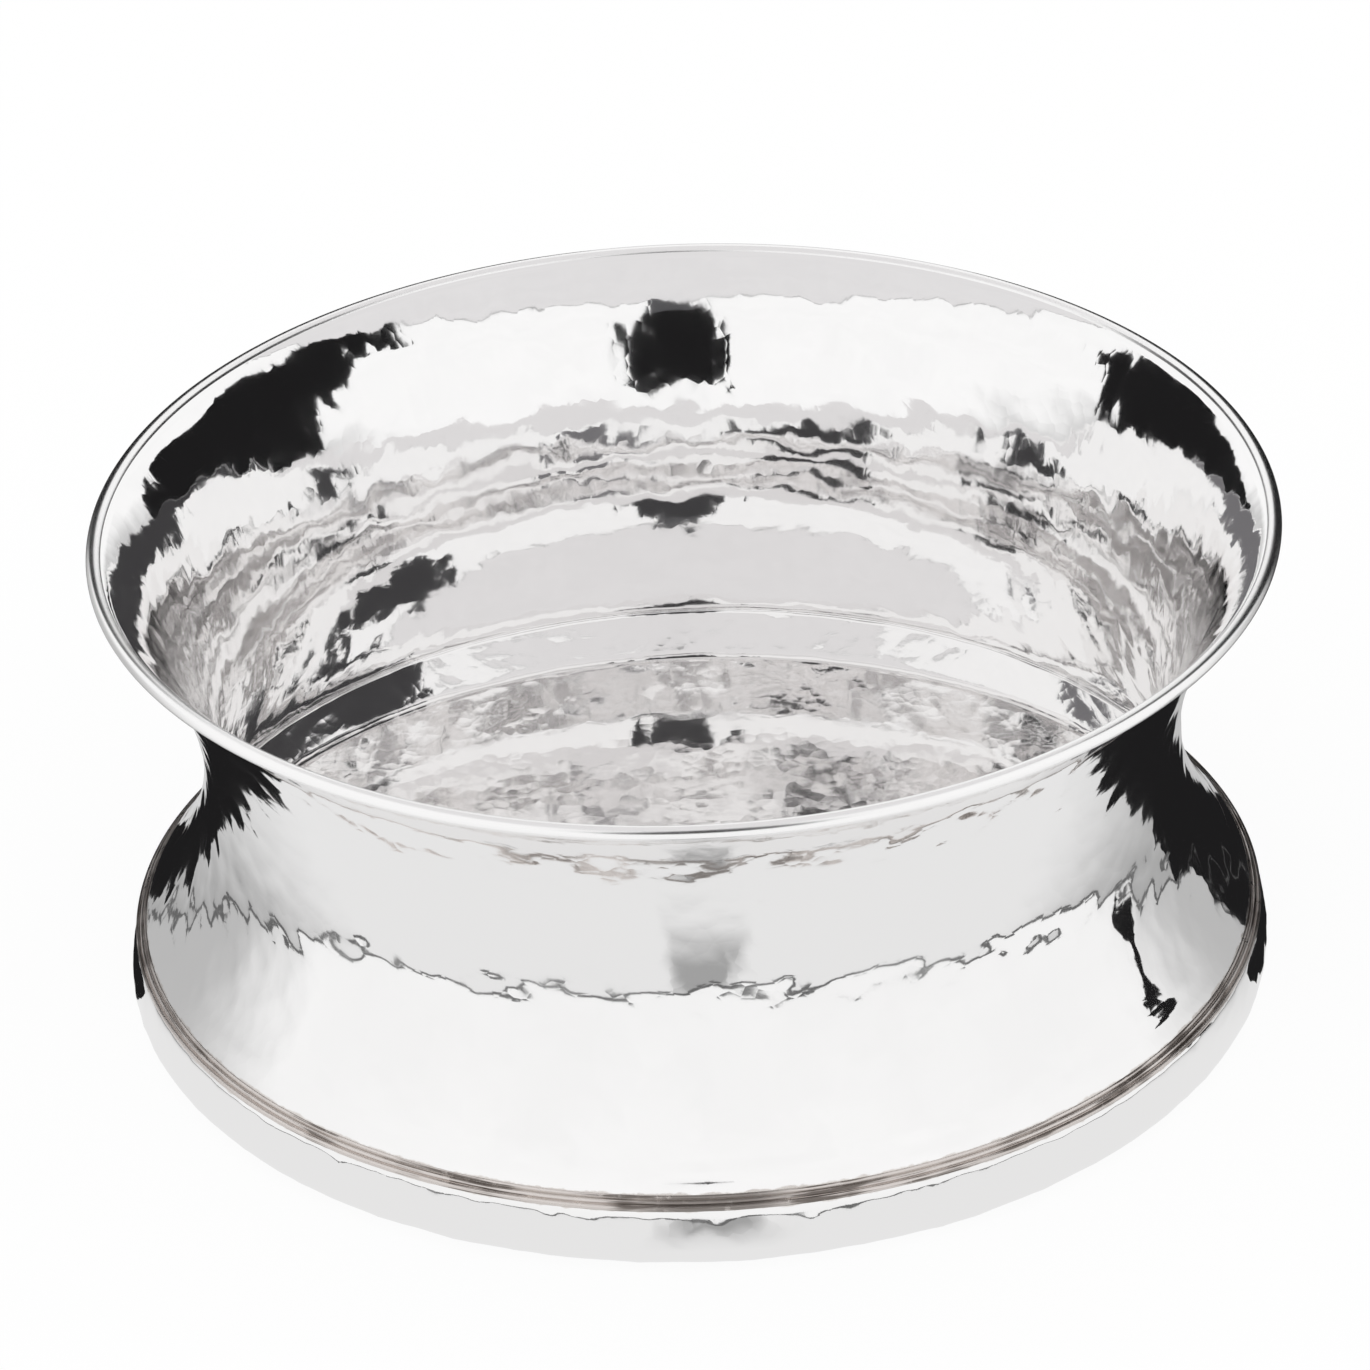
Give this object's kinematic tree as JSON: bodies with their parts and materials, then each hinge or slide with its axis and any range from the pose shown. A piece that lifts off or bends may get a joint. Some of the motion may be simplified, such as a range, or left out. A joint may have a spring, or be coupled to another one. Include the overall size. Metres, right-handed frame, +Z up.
{
  "type": "wine bottle coaster",
  "caption": "Waisted round metal coaster with a planished mirror finish, a wire rim, a shouldered foot band and a baize pad, for standing a wine bottle in.",
  "frame": {"origin": "on the axis, on the surface that the coaster stands on", "axes": "+Z up along the axis of revolution, out of the mouth"},
  "size_m": [0.13, 0.13, 0.056],
  "materials": {
    "hammered_silver": "planished, mirror polished silver plate",
    "polished_silver": "smooth mirror polished silver plate",
    "tarnished_silver": "satin, tarnished solder and reeded wire",
    "green_baize": "short napped wool baize"
  },
  "bodies": {
    "root": {"side_wall": "hammered_silver", "rim_wire": "polished_silver", "joint_wire": "tarnished_silver", "foot_band": "hammered_silver", "inner_collar": "hammered_silver", "base_plate": "hammered_silver", "baize_pad": "green_baize"}
  },
  "joints": []
}
